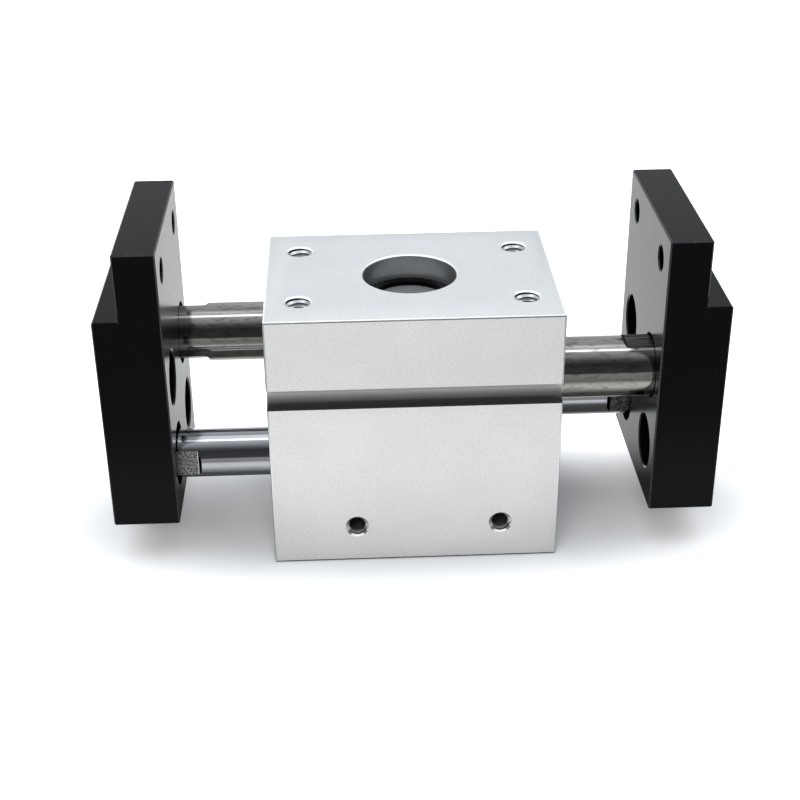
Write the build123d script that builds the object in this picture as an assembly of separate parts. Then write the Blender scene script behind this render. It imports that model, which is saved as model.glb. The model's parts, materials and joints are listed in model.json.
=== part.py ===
from build123d import *
import math
import os

# A wide-opening parallel gripper with two air cylinders, in millimetres.
# X is the opening direction, the front faces -Y, and Z = 0 is the underside of the housing.
# It is drawn open. Turned half a turn about Z, the right finger's set becomes the left one's.

# Housing block
housing_length = 70.0
housing_width = 52.0
housing_height = 66.0
housing_edge = 0.6
groove_width = 5.2
groove_depth = 4.0

# Motion
stroke = 20.0
closed_gap = 3.0

# Rods
rack_rod_radius = 7.5
rack_tail_step = 1.5
rack_rod_depth = 20.4
piston_rod_radius = 6.0
bore_web = 0.75
rod_end_inset = 1.0
rod_end_chamfer = 0.8
spigot_radius = 3.95
rack_flats_across = 13.0
rack_flats_length = 7.3
left_rack_flats_turn = 30.0
piston_flats_across = 10.0
piston_flats_length = 6.0

# Rack and pinion
gear_module = 1.0
pinion_teeth = 14
pressure_angle = math.radians(20)
pinion_addendum = 0.9
rack_addendum = 0.8
tooth_dedendum = 1.25
backlash = 0.12
pinion_width = 9.0
rack_line_depth = 5.5
pinion_pin_radius = 2.5
pinion_pin_seat = 7.0
pinion_bush_wall = 0.95
pin_chamfer = 0.4
thrust_washer_radius = 5.4
thrust_washer_thickness = 0.9
thrust_gap = 0.1
gear_chamber_gap = 1.1

# Top bore and its cover
top_bore_radius = 11.5
top_bore_chamfer = 0.4
cover_above_rods = 1.5
cover_thickness = 4.0
cover_boss_radius = 4.0
cover_pin_depth = 2.4
cover_seal_depth = 0.9
cover_seal_width = 1.8
ring_thickness = 1.2
ring_groove_depth = 0.6
cover_ring_width = 2.8
ring_eye_share = 0.62
ring_eye_hole_share = 0.42

# Cylinders, pistons and rod covers
cylinder_radius = 10.0
rod_cover_step = 0.8
rod_ring_inset = 1.7
rod_ring_width = 3.0
rod_ring_groove = 0.5
rod_bush_wall = 1.0
rod_cover_land = 1.8
rod_seal_length = 3.2
rod_seal_depth = 2.4
rod_seal_inset = 1.0
outer_seal_depth = 1.5
outer_seal_width = 2.4
outer_seal_inset = 3.1
bumper_thickness = 1.7
bumper_inner_gap = 0.9
bumper_outer_gap = 0.4
piston_length = 16.0
piston_end_gap = 0.4
piston_relief = 0.3
wear_ring_width = 4.0
wear_ring_depth = 0.7
wear_ring_inset = 2.0
piston_seal_width = 3.0
piston_seal_depth = 1.7
piston_seal_inset = 3.5
circlip_thickness = 1.0
circlip_sink = 0.15
circlip_groove = 0.5
circlip_width = 1.9

# Guides of the thick rods
rack_bush_length = 12.0
rack_bush_wall = 1.0
scraper_length = 2.4
scraper_wall = 1.3
scraper_lip_height = 0.4
scraper_lip_base = 0.6
scraper_lip_tip = 0.25
tail_bush_length = 7.0
tail_bush_inset = 1.0
magnet_radius = 2.0
magnet_depth = 2.5
magnet_inset = 0.15
magnet_station = 10.0

# Finger plates
finger_side_inset = 2.0
finger_below_rod = 13.75
finger_thin_height = 16.6
finger_thin = 10.0
finger_thick = 16.0
finger_edge = 0.6
recess_gap = 0.5
recess_depth = 1.5
spigot_hole_gap = 0.25
nut_pocket_gap = 1.0
nut_pocket_depth = 8.5
passage_gap = 0.75
passage_chamfer = 0.4
jaw_hole_below_top = 7.8
jaw_hole_side_inset = 9.0
nut_flats_across = 13.0
nut_thickness = 5.0
nut_bore_gap = 0.05
nut_corner_angle = math.radians(30)
nut_face_relief = 0.2
washer_radius = 8.0
washer_thickness = 1.2
washer_rise = 0.4
spigot_beyond_nut = 0.6

# Tapped holes
thread_radius_m6 = 3.0
mouth_radius_m6 = 3.35
thread_radius_m5 = 2.5
mouth_radius_m5 = 2.95
mounting_hole_inset_x = 8.0
mounting_hole_inset_y = 11.0
top_hole_depth = 9.0
bottom_hole_depth = 9.0
port_depth = 7.0
port_height = 9.9
close_port_x = -14.4
open_port_x = 20.9
drill_cone_slope = 0.6

# Clearances
running = 0.03
seated = 0.02
free_play = 0.3
cutter_margin = 1.0

# Places and sizes worked out from the ones above
half_length = housing_length / 2
half_width = housing_width / 2
finger_face = half_length + closed_gap + stroke
pitch_radius = gear_module * pinion_teeth / 2
gear_chamber_radius = pitch_radius + pinion_addendum * gear_module + gear_chamber_gap
rack_tail_radius = rack_rod_radius - rack_tail_step
scraper_radius = rack_rod_radius + scraper_wall
rod_cover_radius = cylinder_radius + rod_cover_step
rod_ring_radius = rod_cover_radius + rod_ring_groove
circlip_pocket_radius = piston_rod_radius - circlip_groove + circlip_width + free_play
passage_radius = rack_tail_radius + passage_gap
spigot_hole_radius = spigot_radius + spigot_hole_gap
nut_bore_radius = spigot_radius + nut_bore_gap
rack_rod_height = housing_height - rack_rod_depth
piston_rod_height = rack_rod_height - scraper_radius - bore_web - rod_ring_radius
piston_rod_offset = housing_width / 4
finger_width = housing_width - 2 * finger_side_inset
finger_bottom = piston_rod_height - finger_below_rod
finger_step = housing_height
finger_top = finger_step + finger_thin_height
jaw_hole_height = finger_top - jaw_hole_below_top
jaw_hole_spacing = finger_width - 2 * jaw_hole_side_inset
mounting_hole_spacing_x = housing_length - 2 * mounting_hole_inset_x
mounting_hole_spacing_y = housing_width - 2 * mounting_hole_inset_y
rack_rod_offset = pitch_radius + rack_line_depth
tooth_pitch = math.pi * gear_module
rack_tip_line = pitch_radius - rack_addendum * gear_module
rack_root_line = pitch_radius + tooth_dedendum * gear_module
rack_start = stroke + pitch_radius
tail_bush_outer = half_length - tail_bush_inset
tail_bush_inner = tail_bush_outer - tail_bush_length
rack_section_end = stroke + piston_relief + seated - tail_bush_inner
rod_end = half_length - rod_end_inset
rod_shoulder = finger_face + recess_depth
scraper_outer = half_length - seated
scraper_inner = half_length - scraper_length
rack_bush_outer = scraper_inner
rack_bush_inner = rack_bush_outer - rack_bush_length
rack_bush_radius = rack_rod_radius + rack_bush_wall
tail_bush_radius = rack_tail_radius + rack_bush_wall
rack_bore_radius = rack_rod_radius + free_play + seated
pinion_low = rack_rod_height - pinion_width / 2
pinion_high = rack_rod_height + pinion_width / 2
chamber_floor = pinion_low - thrust_gap - thrust_washer_thickness
boss_low = pinion_high + thrust_gap + thrust_washer_thickness
cover_low = rack_rod_height + rack_rod_radius + cover_above_rods
cover_high = cover_low + cover_thickness
pin_low = chamber_floor - pinion_pin_seat
pin_high = cover_low + cover_pin_depth
rod_ring_outer = half_length - rod_ring_inset
rod_cover_outer = rod_ring_outer - ring_thickness
piston_outer = (stroke + piston_length) / 2
piston_inner = (stroke - piston_length) / 2
bumper_face = piston_outer + piston_end_gap
rod_cover_inner = bumper_face + bumper_thickness
rod_seal_high = rod_cover_inner + rod_seal_inset + rod_seal_length
rod_bush_low = rod_seal_high + rod_cover_land
nut_seat = finger_face + finger_thick - nut_pocket_depth
nut_inner = nut_seat + washer_thickness + washer_rise
spigot_end = nut_inner + nut_thickness + spigot_beyond_nut
rack_place = Pos(0, -rack_rod_offset, rack_rod_height)
piston_place = Pos(0, piston_rod_offset, piston_rod_height)
half_turn = Rot(0, 0, 180)


# Forms shared by several pieces

def turned_x(outline):
    """A solid turned about the X axis from (x, radius) points."""
    return revolve(make_face(Polyline(*outline, close=True)), axis=Axis.X)


def turned_z(outline):
    """A solid turned about the Z axis from (radius, z) points."""
    points = [(radius, 0, z) for radius, z in outline]
    return revolve(make_face(Polyline(*points, close=True)), axis=Axis.Z)


def rod_x(low, high, radius):
    """A plain cylinder along X."""
    return turned_x([(low, 0), (low, radius), (high, radius), (high, 0)])


def ring_x(low, high, inner, outer):
    """A plain ring along X."""
    return turned_x([(low, inner), (low, outer), (high, outer), (high, inner)])


def ring_z(low, high, inner, outer):
    """A plain ring along Z."""
    return turned_z([(inner, low), (outer, low), (outer, high), (inner, high)])


def tapped_hole(radius, mouth, depth):
    """The space of a countersunk hole that goes down from z = 0."""
    lip = mouth - radius
    tip = depth + radius * drill_cone_slope
    return turned_z([(0, lip), (mouth + lip, lip), (radius, -lip), (radius, -depth), (0, -tip)])


def through_hole_x(low, high, radius, chamfer_size):
    """The space of a hole along X with a chamfer at each face."""
    wide = radius + 2 * chamfer_size
    return turned_x([
        (low - chamfer_size, 0), (low - chamfer_size, wide), (low + chamfer_size, radius),
        (high - chamfer_size, radius), (high + chamfer_size, wide), (high + chamfer_size, 0)])


def internal_circlip(outer, width, thickness):
    """A retaining ring for a bore, open at the front, with two eyed ends, flat on z = 0."""
    eye = width * ring_eye_share
    eye_circle = outer - width / 2 - eye
    eye_x = 2 * eye
    eye_y = -math.sqrt(eye_circle ** 2 - eye_x ** 2)
    mouth = Pos(0, -outer) * Rectangle(1.6 * eye, 3 * width)
    plate = Circle(outer) - Circle(outer - width) - mouth
    eyes = [Pos(side * eye_x, eye_y) for side in (-1, 1)]
    for place in eyes:
        plate += place * Circle(eye)
    for place in eyes:
        plate -= place * Circle(eye * ring_eye_hole_share)
    return extrude(plate, amount=thickness)


def external_circlip(low, inner, outer, thickness):
    """A snap ring for a shaft along X, open at the bottom."""
    gap = Pos(low + thickness / 2, 0, -outer) * Box(2 * thickness, 0.9 * inner, 2 * outer)
    return ring_x(low, low + thickness, inner, outer) - gap


def wrench_flats(low, high, across, radius):
    """The two pieces that milling takes off a rod to leave two flats facing up and down."""
    length = high - low
    tall = radius + cutter_margin
    upper = Pos((low + high) / 2, 0, across / 2 + tall / 2) * Box(length, 3 * radius, tall)
    return upper + mirror(upper, about=Plane.XY)


# Housing

def sensor_groove():
    """The round-bottomed groove along the front."""
    back = -half_width + groove_depth - groove_width / 2
    front = -half_width - cutter_margin
    mouth = Pos((front + back) / 2, rack_rod_height) * Rectangle(back - front, groove_width)
    profile = mouth + Pos(back, rack_rod_height) * Circle(groove_width / 2)
    return extrude(Plane.YZ * profile, amount=half_length + cutter_margin, both=True)


def rack_rod_bore():
    """The stepped bore of the right finger's thick rod."""
    open_end = half_length + cutter_margin
    return rack_place * turned_x([
        (-open_end, 0), (-open_end, tail_bush_radius), (-tail_bush_inner, tail_bush_radius),
        (-tail_bush_inner, rack_bore_radius), (rack_bush_inner, rack_bore_radius),
        (rack_bush_inner, rack_bush_radius), (scraper_inner, rack_bush_radius),
        (scraper_inner, scraper_radius), (open_end, scraper_radius), (open_end, 0)])


def cylinder_bore():
    """One air cylinder, with the seats of its two rod covers and their ring grooves."""
    open_end = half_length + cutter_margin
    seat_end = [
        (rod_cover_inner, cylinder_radius), (rod_cover_inner, rod_cover_radius),
        (rod_cover_outer, rod_cover_radius), (rod_cover_outer, rod_ring_radius),
        (rod_ring_outer, rod_ring_radius), (rod_ring_outer, rod_cover_radius),
        (open_end, rod_cover_radius), (open_end, 0)]
    mirrored = [(-x, radius) for x, radius in reversed(seat_end)]
    return piston_place * turned_x(mirrored + seat_end)


def top_bore():
    """The bore over the pinion, with its ring groove, gear chamber and pin seat."""
    top = housing_height
    chamfer_reach = top_bore_radius + 2 * top_bore_chamfer
    groove_radius = top_bore_radius + ring_groove_depth
    pin_radius = pinion_pin_radius + seated
    return turned_z([
        (0, pin_low), (pin_radius, pin_low), (pin_radius, chamber_floor),
        (gear_chamber_radius, chamber_floor), (gear_chamber_radius, cover_low),
        (top_bore_radius, cover_low), (top_bore_radius, cover_high),
        (groove_radius, cover_high), (groove_radius, cover_high + ring_thickness),
        (top_bore_radius, cover_high + ring_thickness),
        (top_bore_radius, top - top_bore_chamfer), (chamfer_reach, top + top_bore_chamfer),
        (0, top + top_bore_chamfer)])


def housing():
    block = Pos(0, 0, housing_height / 2) * Box(housing_length, housing_width, housing_height)
    block = chamfer(block.edges(), housing_edge)
    cuts = [sensor_groove(), top_bore(), rack_rod_bore(), half_turn * rack_rod_bore()]
    cuts += [cylinder_bore(), half_turn * cylinder_bore()]
    top_hole = tapped_hole(thread_radius_m6, mouth_radius_m6, top_hole_depth)
    bottom_hole = Rot(180, 0, 0) * tapped_hole(thread_radius_m6, mouth_radius_m6, bottom_hole_depth)
    for place in GridLocations(mounting_hole_spacing_x, mounting_hole_spacing_y, 2, 2):
        cuts.append(Pos(0, 0, housing_height) * place * top_hole)
        cuts.append(place * bottom_hole)
    port = Rot(90, 0, 0) * tapped_hole(thread_radius_m5, mouth_radius_m5, port_depth)
    for port_x in (close_port_x, open_port_x):
        cuts.append(Pos(port_x, -half_width, port_height) * port)
    for cut in cuts:
        block -= cut
    return block


# Pinion and its cover

def pinion():
    """A spur gear with involute flanks and one tooth pointing at each rack."""
    tip = pitch_radius + pinion_addendum * gear_module
    root = pitch_radius - tooth_dedendum * gear_module
    base = pitch_radius * math.cos(pressure_angle)
    half_tooth = (tooth_pitch / 2 - backlash) / 2 / pitch_radius
    at_base = half_tooth + math.tan(pressure_angle) - pressure_angle
    flank = [(root, at_base)]
    for step in range(5):
        radius = base + (tip - base) * step / 4
        angle = math.acos(base / radius)
        flank.append((radius, at_base - math.tan(angle) + angle))
    outline = []
    for tooth in range(pinion_teeth):
        middle = math.pi / 2 + tooth * 2 * math.pi / pinion_teeth
        for radius, turn in [(r, -a) for r, a in flank] + flank[::-1]:
            outline.append((radius * math.cos(middle + turn), radius * math.sin(middle + turn)))
    gear = extrude(make_face(Polyline(*outline, close=True)), amount=pinion_width)
    bore_radius = pinion_pin_radius + pinion_bush_wall + running
    return Pos(0, 0, pinion_low) * (gear - ring_z(-1, pinion_width + 1, 0, bore_radius))


def pinion_bush():
    wall_radius = pinion_pin_radius + pinion_bush_wall + running - seated
    return ring_z(pinion_low, pinion_high, pinion_pin_radius + running, wall_radius)


def pinion_pin():
    tip = pinion_pin_radius - pin_chamfer
    low = pin_low + free_play
    return turned_z([
        (0, low), (tip, low), (pinion_pin_radius, low + pin_chamfer),
        (pinion_pin_radius, pin_high - pin_chamfer), (tip, pin_high), (0, pin_high)])


def pinion_washers():
    bore_radius = pinion_pin_radius + free_play / 2
    lower = ring_z(chamber_floor, chamber_floor + thrust_washer_thickness, bore_radius,
                   thrust_washer_radius)
    return Compound([lower, Pos(0, 0, boss_low - thrust_washer_thickness - chamber_floor) * lower])


def pinion_cover():
    rim = top_bore_radius - seated
    seal_radius = rim - cover_seal_depth
    seal_low = cover_low + (cover_thickness - cover_seal_width) / 2
    pin_radius = pinion_pin_radius + seated
    return turned_z([
        (pin_radius, boss_low), (cover_boss_radius, boss_low), (cover_boss_radius, cover_low),
        (rim, cover_low), (rim, seal_low), (seal_radius, seal_low),
        (seal_radius, seal_low + cover_seal_width), (rim, seal_low + cover_seal_width),
        (rim, cover_high), (0, cover_high), (0, pin_high + free_play),
        (pin_radius, pin_high + free_play)])


def pinion_cover_seal():
    inner = top_bore_radius - cover_seal_depth
    low = cover_low + (cover_thickness - cover_seal_width) / 2 + seated
    return ring_z(low, low + cover_seal_width - 2 * seated, inner, top_bore_radius - seated)


def pinion_cover_ring():
    ring = internal_circlip(top_bore_radius + ring_groove_depth - 2 * seated, cover_ring_width,
                            ring_thickness - seated)
    return Pos(0, 0, cover_high) * ring


# Right finger's thick rod and its guides

def rack_tooth_spaces():
    """The spaces between the rack's teeth, one of them centred on the pinion when open."""
    slope = math.tan(pressure_angle)
    first = math.ceil(rack_section_end / tooth_pitch)
    last = math.floor((rack_start - tooth_pitch / 2) / tooth_pitch)
    half_floor = tooth_pitch / 4 - (rack_root_line - pitch_radius) * slope
    mouth_line = rack_tip_line - free_play
    half_mouth = tooth_pitch / 4 + (pitch_radius - mouth_line) * slope
    space = make_face(Polyline(
        (-half_floor, -rack_root_line), (half_floor, -rack_root_line),
        (half_mouth, -mouth_line), (-half_mouth, -mouth_line), close=True))
    spaces = Sketch() + [Pos(step * tooth_pitch, 0) * space for step in range(first, last + 1)]
    return Pos(0, 0, rack_rod_height) * extrude(spaces, amount=rack_rod_radius, both=True)


def rack_flat():
    """What milling takes off the side of the rod before its teeth are cut."""
    low = rack_section_end - cutter_margin
    depth = rack_rod_radius
    block = Box(rack_start - low, depth, 2 * rack_rod_radius + cutter_margin)
    return Pos((rack_start + low) / 2, depth / 2 - rack_tip_line, rack_rod_height) * block


def rack_rod(flats_turn=0.0, magnet=True):
    tip = rod_end_chamfer
    rod = turned_x([
        (-rod_end, 0), (-rod_end, rack_tail_radius - tip), (tip - rod_end, rack_tail_radius),
        (rack_section_end, rack_tail_radius), (rack_section_end, rack_rod_radius),
        (rod_shoulder, rack_rod_radius), (rod_shoulder, spigot_radius),
        (spigot_end - tip, spigot_radius), (spigot_end, spigot_radius - tip), (spigot_end, 0)])
    flats = wrench_flats(finger_face - rack_flats_length, rod_shoulder + cutter_margin / 2,
                         rack_flats_across, rack_rod_radius)
    stay = rod_x(rod_shoulder, spigot_end, spigot_radius)
    rod = rod - Rot(flats_turn, 0, 0) * flats + stay
    rod = rack_place * rod - rack_flat() - rack_tooth_spaces()
    if magnet:
        rod -= magnet_pocket(magnet_depth + magnet_inset, magnet_radius + seated)
    return rod


def magnet_pocket(depth, radius):
    """A round plug that goes into the front of the rod."""
    face = -rack_rod_offset - rack_rod_radius
    disc = turned_z([(0, 0), (radius, 0), (radius, depth), (0, depth)])
    return Pos(magnet_station, face + depth, rack_rod_height) * Rot(90, 0, 0) * disc


def rack_magnet():
    return Pos(0, magnet_inset, 0) * magnet_pocket(magnet_depth - seated, magnet_radius)


def rack_rod_bush():
    inner = rack_rod_radius + running
    return rack_place * ring_x(rack_bush_inner, rack_bush_outer, inner, rack_bush_radius - seated)


def rack_rod_scraper():
    """A dust scraper whose lip stands a little proud of its case."""
    lip = rack_rod_radius + running
    outer = scraper_radius - seated
    case_end = scraper_outer - scraper_lip_height
    return rack_place * turned_x([
        (scraper_inner, lip), (scraper_inner, outer), (case_end, outer),
        (case_end, lip + scraper_lip_base), (scraper_outer, lip + scraper_lip_tip),
        (scraper_outer, lip)])


def tail_bush():
    inner = rack_tail_radius + running
    return rack_place * ring_x(-tail_bush_outer, -tail_bush_inner, inner, tail_bush_radius - seated)


# Right finger's cylinder: rod, piston and rod covers

def piston_rod():
    tip = rod_end_chamfer
    groove = piston_rod_radius - circlip_groove
    left_groove = piston_inner + circlip_sink
    right_groove = piston_outer - circlip_sink
    rod = turned_x([
        (-rod_end, 0), (-rod_end, piston_rod_radius - tip), (tip - rod_end, piston_rod_radius),
        (left_groove, piston_rod_radius), (left_groove, groove),
        (left_groove + circlip_thickness + 2 * seated, groove),
        (left_groove + circlip_thickness + 2 * seated, piston_rod_radius),
        (right_groove - circlip_thickness - 2 * seated, piston_rod_radius),
        (right_groove - circlip_thickness - 2 * seated, groove), (right_groove, groove),
        (right_groove, piston_rod_radius), (rod_shoulder, piston_rod_radius),
        (rod_shoulder, spigot_radius), (spigot_end - tip, spigot_radius),
        (spigot_end, spigot_radius - tip), (spigot_end, 0)])
    flats = wrench_flats(finger_face - piston_flats_length, rod_shoulder, piston_flats_across,
                         piston_rod_radius)
    return piston_place * (rod - Rot(90, 0, 0) * flats)


def piston():
    outer = cylinder_radius - piston_relief
    bore = piston_rod_radius + seated
    pocket = circlip_thickness + circlip_sink + 2 * seated
    wear_low = piston_inner + wear_ring_inset
    wear_high = wear_low + wear_ring_width
    seal_high = piston_outer - piston_seal_inset
    seal_low = seal_high - piston_seal_width
    wear_floor = cylinder_radius - wear_ring_depth
    seal_floor = cylinder_radius - piston_seal_depth
    return piston_place * turned_x([
        (piston_inner, circlip_pocket_radius), (piston_inner, outer), (wear_low, outer),
        (wear_low, wear_floor), (wear_high, wear_floor), (wear_high, outer),
        (seal_low, outer), (seal_low, seal_floor), (seal_high, seal_floor),
        (seal_high, outer), (piston_outer, outer), (piston_outer, circlip_pocket_radius),
        (piston_outer - pocket, circlip_pocket_radius), (piston_outer - pocket, bore),
        (piston_inner + pocket, bore), (piston_inner + pocket, circlip_pocket_radius)])


def wear_ring():
    low = piston_inner + wear_ring_inset + seated
    return piston_place * ring_x(low, low + wear_ring_width - 2 * seated,
                                 cylinder_radius - wear_ring_depth + seated,
                                 cylinder_radius - 2 * seated)


def piston_seal():
    low = piston_outer - piston_seal_inset - piston_seal_width + seated
    return piston_place * ring_x(low, low + piston_seal_width - 2 * seated,
                                 cylinder_radius - piston_seal_depth + seated,
                                 cylinder_radius - running)


def piston_circlips():
    inner = piston_rod_radius - circlip_groove + seated
    outer = inner + circlip_width
    left = external_circlip(piston_inner + circlip_sink + seated, inner, outer, circlip_thickness)
    right = external_circlip(piston_outer - circlip_sink - seated - circlip_thickness, inner,
                             outer, circlip_thickness)
    return piston_place * Compound([left, right])


def rod_cover():
    """The cover at the right end of the cylinder, which guides and seals the rod."""
    rim = rod_cover_radius - seated
    bore = piston_rod_radius + free_play
    seal_low = rod_cover_inner + rod_seal_inset
    outer_high = rod_cover_outer - outer_seal_inset
    outer_low = outer_high - outer_seal_width
    outer_floor = rod_cover_radius - outer_seal_depth
    bush_seat = piston_rod_radius + rod_bush_wall + running
    return piston_place * turned_x([
        (rod_cover_inner, bore), (rod_cover_inner, rim), (outer_low, rim),
        (outer_low, outer_floor), (outer_high, outer_floor), (outer_high, rim),
        (rod_cover_outer, rim), (rod_cover_outer, bush_seat),
        (rod_bush_low, bush_seat), (rod_bush_low, bore), (rod_seal_high, bore),
        (rod_seal_high, piston_rod_radius + rod_seal_depth),
        (seal_low, piston_rod_radius + rod_seal_depth), (seal_low, bore)])


def rod_bush():
    outer = piston_rod_radius + rod_bush_wall + running - seated
    return piston_place * ring_x(rod_bush_low, rod_cover_outer, piston_rod_radius + running, outer)


def rod_seal():
    low = rod_cover_inner + rod_seal_inset + seated
    return piston_place * ring_x(low, low + rod_seal_length - 2 * seated,
                                 piston_rod_radius + running,
                                 piston_rod_radius + rod_seal_depth - seated)


def rod_cover_seal():
    low = rod_cover_outer - outer_seal_inset - outer_seal_width + seated
    return piston_place * ring_x(low, low + outer_seal_width - 2 * seated,
                                 rod_cover_radius - outer_seal_depth + seated,
                                 rod_cover_radius - seated)


def rod_cover_ring():
    ring = internal_circlip(rod_ring_radius - seated, rod_ring_width, ring_thickness - seated)
    return piston_place * Pos(rod_cover_outer, 0, 0) * Plane.YZ.location * ring


def bumper():
    inner = piston_rod_radius + bumper_inner_gap
    outer = cylinder_radius - bumper_outer_gap
    return piston_place * ring_x(bumper_face, rod_cover_inner - seated, inner, outer)


# Right finger plate and its fasteners

def finger():
    outer = finger_face + finger_thick
    profile = make_face(Polyline(
        (finger_face, 0, finger_bottom), (outer, 0, finger_bottom), (outer, 0, finger_step),
        (finger_face + finger_thin, 0, finger_step), (finger_face + finger_thin, 0, finger_top),
        (finger_face, 0, finger_top), close=True))
    plate = chamfer(extrude(profile, amount=finger_width / 2, both=True).edges(), finger_edge)
    recess_radius = rack_rod_radius + recess_gap
    pocket_radius = washer_radius + nut_pocket_gap
    for place in (rack_place, piston_place):
        mirrored_place = half_turn * place * half_turn
        plate -= place * rod_x(finger_face - cutter_margin, rod_shoulder, recess_radius)
        plate -= place * rod_x(finger_face, outer, spigot_hole_radius)
        plate -= place * rod_x(nut_seat, outer + cutter_margin, pocket_radius)
        plate -= mirrored_place * through_hole_x(finger_face, outer, passage_radius, passage_chamfer)
    mouth_chamfer = mouth_radius_m6 - thread_radius_m6
    for side in (-1, 1):
        plate -= Pos(0, side * jaw_hole_spacing / 2, jaw_hole_height) * through_hole_x(
            finger_face, finger_face + finger_thin, thread_radius_m6, mouth_chamfer)
    return plate


def lock_nut():
    """A thin hexagon nut with chamfered corners, its axis along X."""
    hexagon = RegularPolygon(nut_flats_across / 2, 6, major_radius=False)
    prism = extrude(Plane.YZ * hexagon, amount=nut_thickness)
    corner = nut_flats_across / math.sqrt(3)
    flat_circle = nut_flats_across / 2 - nut_face_relief
    bevel = (corner - flat_circle) * math.tan(nut_corner_angle)
    envelope = turned_x([
        (0, nut_bore_radius), (0, flat_circle), (bevel, corner),
        (nut_thickness - bevel, corner), (nut_thickness, flat_circle),
        (nut_thickness, nut_bore_radius)])
    return prism & envelope


def lock_nuts():
    nut = Pos(nut_inner, 0, 0) * lock_nut()
    return Compound([rack_place * nut, piston_place * nut])


def spring_washers():
    """Two conical washers, dished towards the nuts."""
    bore = spigot_hole_radius
    washer = Pos(nut_seat, 0, 0) * turned_x([
        (0, washer_radius), (washer_thickness, washer_radius),
        (washer_thickness + washer_rise, bore), (washer_rise, bore)])
    return Compound([rack_place * washer, piston_place * washer])


# The whole gripper

def write(shape, node):
    export_step(shape, f"parts/{node}.step")


def write_pair(right_shape, node):
    """Writes one finger's piece and its twin on the other finger."""
    write(right_shape, "right_" + node)
    write(half_turn * right_shape, "left_" + node)


def write_fixed_pieces():
    write(housing(), "housing")
    write(pinion_cover(), "pinion_cover")
    write(pinion_cover_seal(), "pinion_cover_seal")
    write(pinion_cover_ring(), "pinion_cover_ring")
    write(pinion_pin(), "pinion_pin")
    write(pinion_washers(), "pinion_washers")
    write_pair(rack_rod_bush(), "rack_rod_bush")
    write_pair(rack_rod_scraper(), "rack_rod_scraper")
    write_pair(tail_bush(), "tail_bush")
    cylinder_end_pieces = {
        "rod_cover": rod_cover(), "rod_bush": rod_bush(), "rod_seal": rod_seal(),
        "rod_cover_seal": rod_cover_seal(), "bumper": bumper()}
    for node, piece in cylinder_end_pieces.items():
        write(piece, "rear_right_" + node)
        write(mirror(piece, about=Plane.YZ), "rear_left_" + node)
        write(half_turn * piece, "front_left_" + node)
        write(mirror(half_turn * piece, about=Plane.YZ), "front_right_" + node)
    ring = rod_cover_ring()
    twin = mirror(ring, about=Plane.YZ)
    write(Compound([ring, twin, half_turn * ring, half_turn * twin]), "rod_cover_rings")


def write_moving_pieces():
    write(pinion(), "pinion")
    write(pinion_bush(), "pinion_bush")
    write(rack_rod(), "right_rack_rod")
    write(half_turn * rack_rod(left_rack_flats_turn, magnet=False), "left_rack_rod")
    write(rack_magnet(), "rack_magnet")
    write_pair(piston_rod(), "piston_rod")
    write_pair(piston(), "piston")
    write_pair(wear_ring(), "wear_ring")
    write_pair(piston_seal(), "piston_seal")
    write_pair(piston_circlips(), "piston_circlips")
    write_pair(finger(), "finger")
    write_pair(spring_washers(), "spring_washers")
    write_pair(lock_nuts(), "lock_nuts")


os.makedirs("parts", exist_ok=True)
write_fixed_pieces()
write_moving_pieces()
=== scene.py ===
import json
import math

import bmesh
import bpy
from mathutils import Matrix, Vector

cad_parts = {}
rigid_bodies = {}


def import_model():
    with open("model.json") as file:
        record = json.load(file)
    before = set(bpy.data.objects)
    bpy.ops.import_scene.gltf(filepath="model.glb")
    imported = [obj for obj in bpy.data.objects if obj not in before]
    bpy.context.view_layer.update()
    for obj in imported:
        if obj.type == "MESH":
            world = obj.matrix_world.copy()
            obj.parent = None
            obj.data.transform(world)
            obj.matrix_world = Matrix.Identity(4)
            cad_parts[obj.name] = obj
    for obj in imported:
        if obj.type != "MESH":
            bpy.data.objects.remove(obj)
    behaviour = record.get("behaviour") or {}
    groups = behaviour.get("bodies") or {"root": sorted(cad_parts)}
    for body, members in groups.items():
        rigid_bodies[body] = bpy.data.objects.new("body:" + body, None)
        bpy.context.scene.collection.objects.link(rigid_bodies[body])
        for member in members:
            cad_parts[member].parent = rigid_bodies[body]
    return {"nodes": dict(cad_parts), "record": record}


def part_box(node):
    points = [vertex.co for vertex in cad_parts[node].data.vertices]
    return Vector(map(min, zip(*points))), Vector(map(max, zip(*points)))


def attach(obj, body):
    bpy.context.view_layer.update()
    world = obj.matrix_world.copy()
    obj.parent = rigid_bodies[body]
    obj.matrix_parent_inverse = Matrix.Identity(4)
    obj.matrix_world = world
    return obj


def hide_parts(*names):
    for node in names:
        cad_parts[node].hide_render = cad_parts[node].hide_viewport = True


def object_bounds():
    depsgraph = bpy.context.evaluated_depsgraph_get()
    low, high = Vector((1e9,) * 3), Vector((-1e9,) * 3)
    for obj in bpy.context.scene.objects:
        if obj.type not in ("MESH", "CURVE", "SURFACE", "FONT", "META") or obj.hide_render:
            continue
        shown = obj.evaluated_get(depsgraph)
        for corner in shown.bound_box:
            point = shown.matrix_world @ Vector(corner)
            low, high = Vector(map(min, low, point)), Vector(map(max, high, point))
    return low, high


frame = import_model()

bl_info = {
    "name": "Parallel gripper",
    "version": (1, 0, 0),
    "blender": (4, 5, 0),
    "location": "View3D > Sidebar > Gripper",
    "description": "Dresses a wide-opening parallel gripper round its fixed frame",
    "category": "Add Mesh",
}

MM = 0.001
FRAME_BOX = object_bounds()
MOUNTS = {mount["name"]: mount for mount in frame["record"]["mounts"]}
PORTS = ("close_port", "open_port")
TAPPED_HOLES = ("top_mount", "bottom_mount") + PORTS

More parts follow.
